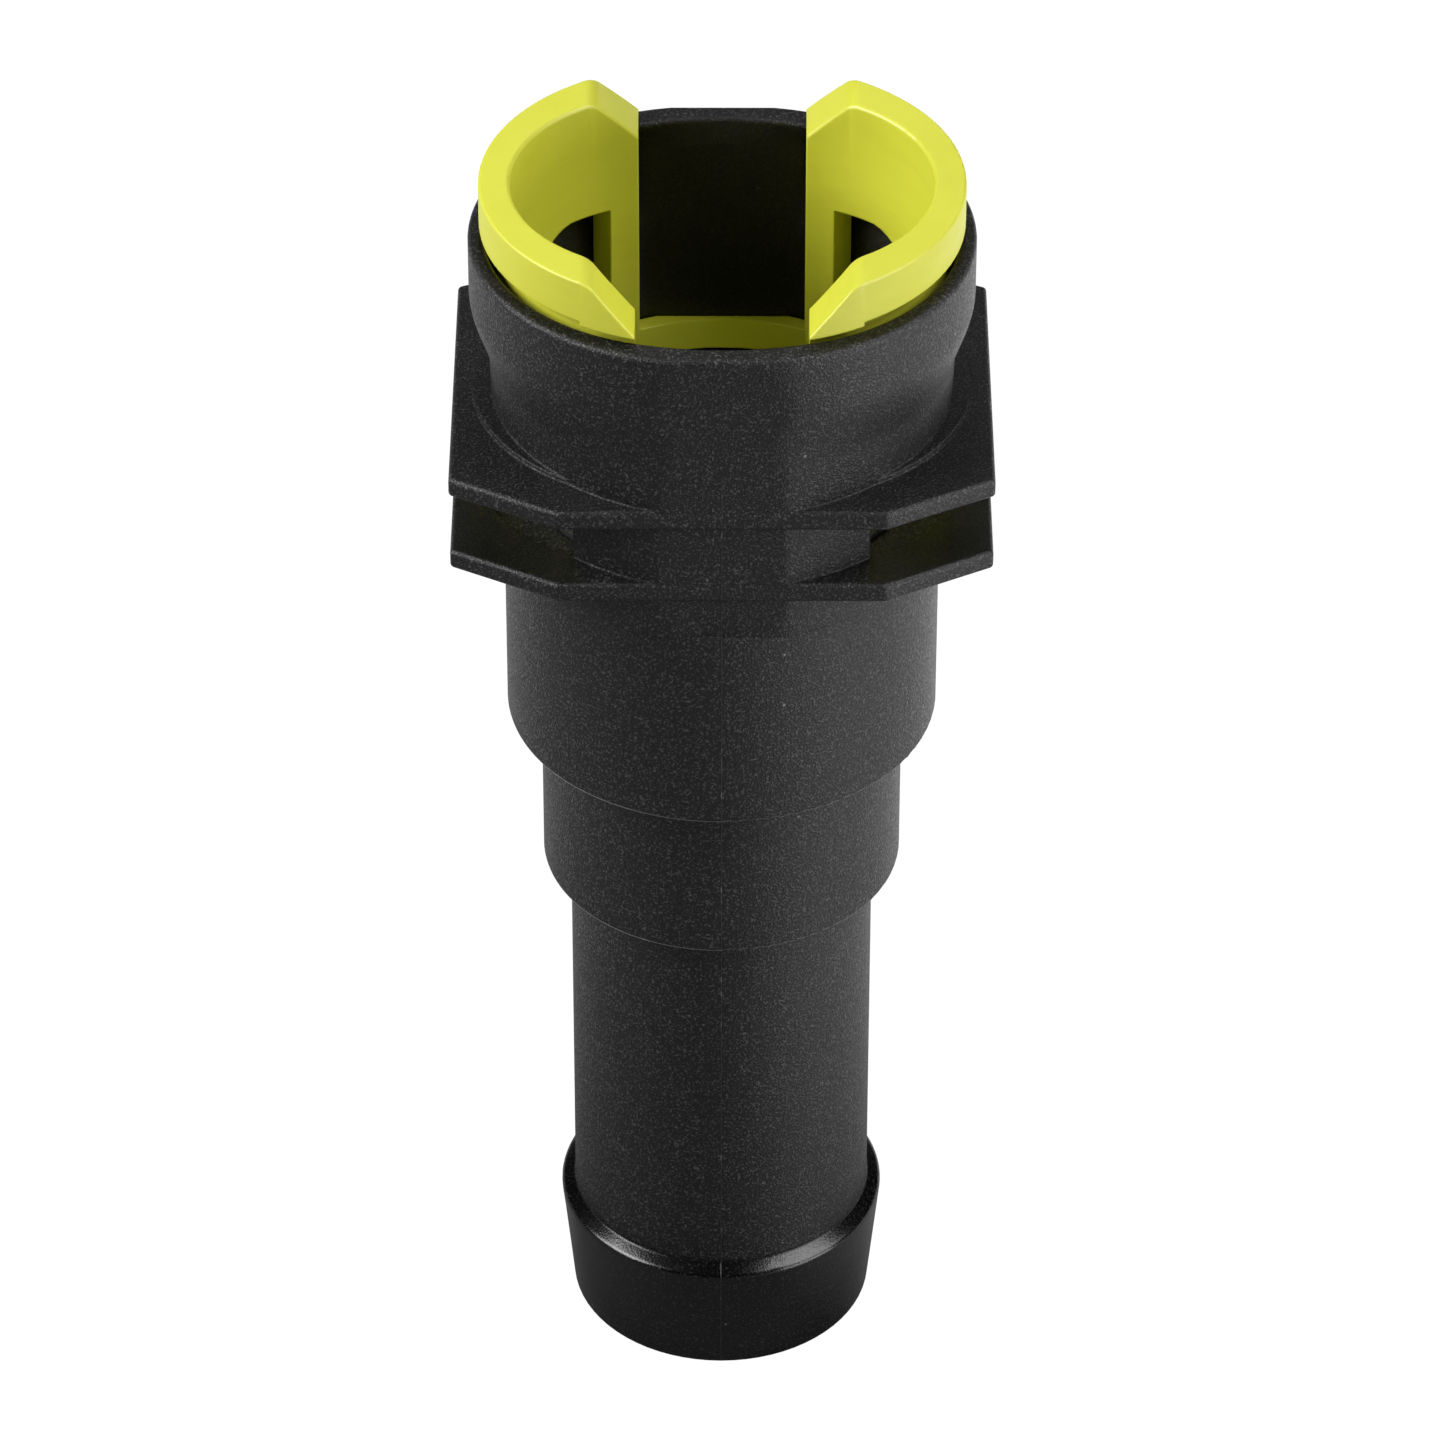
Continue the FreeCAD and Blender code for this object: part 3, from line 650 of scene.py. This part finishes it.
def highlight_line_tree():
    """Geometry tree of a thin bead that runs round the moulding at one level."""
    tree = new_group("GeometryNodeTree", "flash_line", {
        "Moulding": ("NodeSocketObject", None),
        "Bead radius": ("NodeSocketFloat", 0.03 * MM),
        "Level": ("NodeSocketFloat", 0.0),
        "Material": ("NodeSocketMaterial", None),
    }, {"Geometry": "NodeSocketGeometry"})
    build = TreeBuilder(tree)
    given = build.add("NodeGroupInput").outputs
    ring = flat_ring(build, HIGHLIGHT_LINE_CORNERS, RAY_START, given["Level"])
    spot = build.add("GeometryNodeInputPosition").outputs[0]
    inwards = build.vector_maths("MULTIPLY", spot, (-1, -1, 0)).outputs[0]
    end_tree(build, lay_bead(build, given, ring, inwards), given["Material"])
    return tree


class CONNECTOR_OT_moulding(Operator):
    """Make the black moulding with its barb, windows and mouth"""

    bl_idname = "connector.moulding"
    bl_label = "Moulding"

    def execute(self, context):
        take_over("body", "moulding", nylon_material(context.scene.nylon))
        return {"FINISHED"}


class CONNECTOR_OT_parting_line(Operator):
    """Lay the fine ridge of the mould's halves down the front and back"""

    bl_idname = "connector.parting_line"
    bl_label = "Parting line"

    def execute(self, context):
        settings = context.scene.parting
        ridge = grow("parting_line", parting_ridge_tree(), {
            "Moulding": bpy.data.objects["moulding"],
            "Bead radius": settings.bead_radius,
            "Foot level": settings.foot_level,
            "Top level": settings.top_level,
            "Points": settings.points,
            "Material": painted_highlight_material("nylon_ridge", settings),
        })
        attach(ridge, "root")
        return {"FINISHED"}


class CONNECTOR_OT_highlight_lines(Operator):
    """Lay a fine pale bead, a painted highlight, along the lower edges of the two stepped cylinders"""

    bl_idname = "connector.flash_lines"
    bl_label = "Flash lines"

    def execute(self, context):
        settings = context.scene.flash
        material = painted_highlight_material("nylon_flash", settings)
        tree = highlight_line_tree()
        levels = {"flash_line_lower": settings.lower_level, "flash_line_upper": settings.upper_level}
        for name, level in levels.items():
            line = grow(name, tree, {
                "Moulding": bpy.data.objects["moulding"],
                "Bead radius": settings.bead_radius,
                "Level": level,
                "Material": material,
            })
            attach(line, "root")
        return {"FINISHED"}


class CONNECTOR_OT_retainer(Operator):
    """Make the yellow-green retainer"""

    bl_idname = "connector.retainer"
    bl_label = "Retainer"

    def execute(self, context):
        take_over("retainer", "spring_retainer", retainer_material(context.scene.retainer))
        return {"FINISHED"}


class CONNECTOR_OT_seals(Operator):
    """Make the two seal rings"""

    bl_idname = "connector.seals"
    bl_label = "Seal rings"

    def execute(self, context):
        settings = context.scene.seals
        rubber = rubber_material(settings)
        tree = seal_ring_tree()
        for node, level in (("seal_lower", settings.lower_level), ("seal_upper", settings.upper_level)):
            ring = grow(f"{node}_ring", tree, {
                "Ring radius": settings.ring_radius,
                "Cord radius": settings.cord_radius,
                "Level": level,
                "Material": rubber,
            })
            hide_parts(node)
            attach(ring, "root")
        return {"FINISHED"}


class CONNECTOR_OT_guides(Operator):
    """Make the spacer and the bushing that guide the tube"""

    bl_idname = "connector.guides"
    bl_label = "Spacer and bushing"

    def execute(self, context):
        plastic = guide_material(context.scene.guides)
        take_over("spacer", "spacer_ring", plastic)
        take_over("bushing", "guide_bushing", plastic)
        return {"FINISHED"}


# Half the floor's width in metres, its grain and roughness, and how strongly the camera sees it as white.
FLOOR_HALF = 3.0
FLOOR_GRAIN_SCALE = 40.0
FLOOR_PALER = 1.02
FLOOR_ROUGHNESS = 0.9
CAMERA_SHARE = 0.8
GLOW_STRENGTH = 1.25

# How far out, in metres, the pale floor fades in behind the object, to its right and to its left.
BEHIND_RANGE = (0.0, 0.06)
RIGHT_RANGE = (0.008, 0.04)
LEFT_RANGE = (-0.008, -0.04)

# Each lamp's name, place, width and height in metres, and power in watts.
LAMPS = (
    ("lamp_right_front", (0.26, -0.16, 0.065), 0.20, 0.12, 0.5),
    ("lamp_right_high", (0.25, -0.06, 0.35), 0.24, 0.24, 1.0),
    ("lamp_left", (-0.27, -0.06, 0.25), 0.20, 0.20, 1.4),
    ("lamp_back_high", (0.0, 0.28, 0.42), 0.34, 0.34, 0.22),
)
LAMP_AIM = Vector((0, 0, 0.045))

# The camera's sensor in millimetres, and the nearest and farthest that it sees, in metres.
SENSOR_WIDTH = 36
CLIP_START = 0.01
CLIP_END = 20


def floor_material(settings):
    """Pale floor that looks white to the camera and keeps the object's shadow."""
    material, build, surface, place = new_material("pale_floor")
    grain = build.add("ShaderNodeTexNoise", {"Vector": place, "Scale": FLOOR_GRAIN_SCALE, "Detail": 2.0})
    paler = [min(1, channel * FLOOR_PALER) for channel in settings.floor_colour[:3]] + [1]
    colour = build.blend(grain.outputs[0], settings.floor_colour, paler)
    build.tree.links.new(colour, surface.inputs["Base Color"])
    surface.inputs["Roughness"].default_value = FLOOR_ROUGHNESS

    spot = build.add("ShaderNodeSeparateXYZ", {0: place}).outputs
    behind = build.ramp(spot["Y"], *BEHIND_RANGE, 0.0, settings.sheen_behind)
    right = build.ramp(spot["X"], *RIGHT_RANGE, 0.0, settings.sheen_right)
    left = build.ramp(spot["X"], *LEFT_RANGE, 0.0, settings.sheen_left)
    pale = build.maths("ADD", behind, build.maths("ADD", right, left))

    ray = build.add("ShaderNodeLightPath").outputs
    mirrored = build.maths("MULTIPLY", ray["Is Glossy Ray"], pale)
    seen = build.maths("MULTIPLY", ray["Is Camera Ray"], CAMERA_SHARE)
    share = build.maths("ADD", seen, mirrored)
    glow = build.add("ShaderNodeEmission", {"Color": (1, 1, 1, 1), "Strength": GLOW_STRENGTH})
    mixed = build.add("ShaderNodeMixShader", {0: share, 1: surface.outputs[0], 2: glow.outputs[0]})
    output = material.node_tree.nodes["Material Output"]
    build.tree.links.new(mixed.outputs[0], output.inputs["Surface"])
    return material


def add_floor(settings):
    """Flat floor round the foot of the object."""
    half = FLOOR_HALF
    mesh = bpy.data.meshes.new("floor")
    mesh.from_pydata([(-half, -half, 0), (half, -half, 0), (half, half, 0), (-half, half, 0)], [],
                     [(0, 1, 2, 3)])
    mesh.materials.append(floor_material(settings))
    return add_object("floor", mesh)


def add_world(settings):
    """White to the camera, and a faint light from all round for the rest."""
    world = bpy.data.worlds.new("studio")
    world.use_nodes = True
    build = TreeBuilder(world.node_tree)
    background = world.node_tree.nodes["Background"]
    background.inputs["Color"].default_value = (1, 1, 1, 1)
    ray = build.add("ShaderNodeLightPath").outputs
    strength = build.between(ray["Is Camera Ray"], settings.ambient, 1.0)
    build.tree.links.new(strength, background.inputs["Strength"])
    return world


def add_lamp(name, place, width, height, power):
    """A soft rectangular lamp that shines at the middle of the object."""
    lamp = bpy.data.lights.new(name, "AREA")
    lamp.shape = "RECTANGLE"
    lamp.size = width
    lamp.size_y = height
    lamp.energy = power
    holder = add_object(name, lamp)
    holder.location = place
    holder.rotation_euler = (LAMP_AIM - Vector(place)).to_track_quat("-Z", "Y").to_euler()
    return holder


def add_camera(settings):
    """Camera that looks down at the object."""
    camera = bpy.data.cameras.new("camera")
    camera.lens = settings.lens
    camera.sensor_width = SENSOR_WIDTH
    camera.clip_start = CLIP_START
    camera.clip_end = CLIP_END
    holder = add_object("camera", camera)
    away = Vector((0, -math.cos(settings.pitch), math.sin(settings.pitch)))
    holder.location = Vector(settings.target) + away * settings.distance
    tilt = Euler((math.pi / 2 - settings.pitch, 0, 0)).to_matrix()
    roll = Euler((0, 0, settings.roll)).to_matrix()
    holder.rotation_euler = (tilt @ roll).to_euler()
    return holder


class CONNECTOR_OT_stage(Operator):
    """Set the floor, the lamps, the world and the camera"""

    bl_idname = "connector.stage"
    bl_label = "Stage"

    def execute(self, context):
        scene = context.scene
        scene.view_settings.view_transform = "Standard"
        floor = add_floor(scene.stage)
        scene.world = add_world(scene.stage)
        for lamp in LAMPS:
            add_lamp(*lamp)
        scene.camera = add_camera(scene.stage)
        return {"FINISHED"}


PIECES = (
    CONNECTOR_OT_moulding,
    CONNECTOR_OT_parting_line,
    CONNECTOR_OT_highlight_lines,
    CONNECTOR_OT_retainer,
    CONNECTOR_OT_seals,
    CONNECTOR_OT_guides,
    CONNECTOR_OT_stage,
)


class CONNECTOR_PT_panel(Panel):
    """Sizes, colours and operators of the connector"""

    bl_idname = "CONNECTOR_PT_panel"
    bl_label = "Hose connector"
    bl_space_type = "VIEW_3D"
    bl_region_type = "UI"
    bl_category = "Connector"

    def draw(self, context):
        for name, group in SETTINGS.items():
            box = self.layout.box()
            box.label(text=name.capitalize())
            for setting in group.__annotations__:
                box.prop(getattr(context.scene, name), setting)
        for piece in PIECES:
            self.layout.operator(piece.bl_idname)


def register():
    for group in (*SETTINGS.values(), *PIECES, CONNECTOR_PT_panel):
        bpy.utils.register_class(group)
    for name, group in SETTINGS.items():
        setattr(bpy.types.Scene, name, PointerProperty(type=group))


def unregister():
    for name in SETTINGS:
        delattr(bpy.types.Scene, name)
    for group in (CONNECTOR_PT_panel, *reversed(PIECES), *reversed(SETTINGS.values())):
        bpy.utils.unregister_class(group)


def main():
    register()
    for piece in PIECES:
        name = piece.bl_idname.split(".")[1]
        getattr(bpy.ops.connector, name)()


if __name__ == "__main__":
    main()
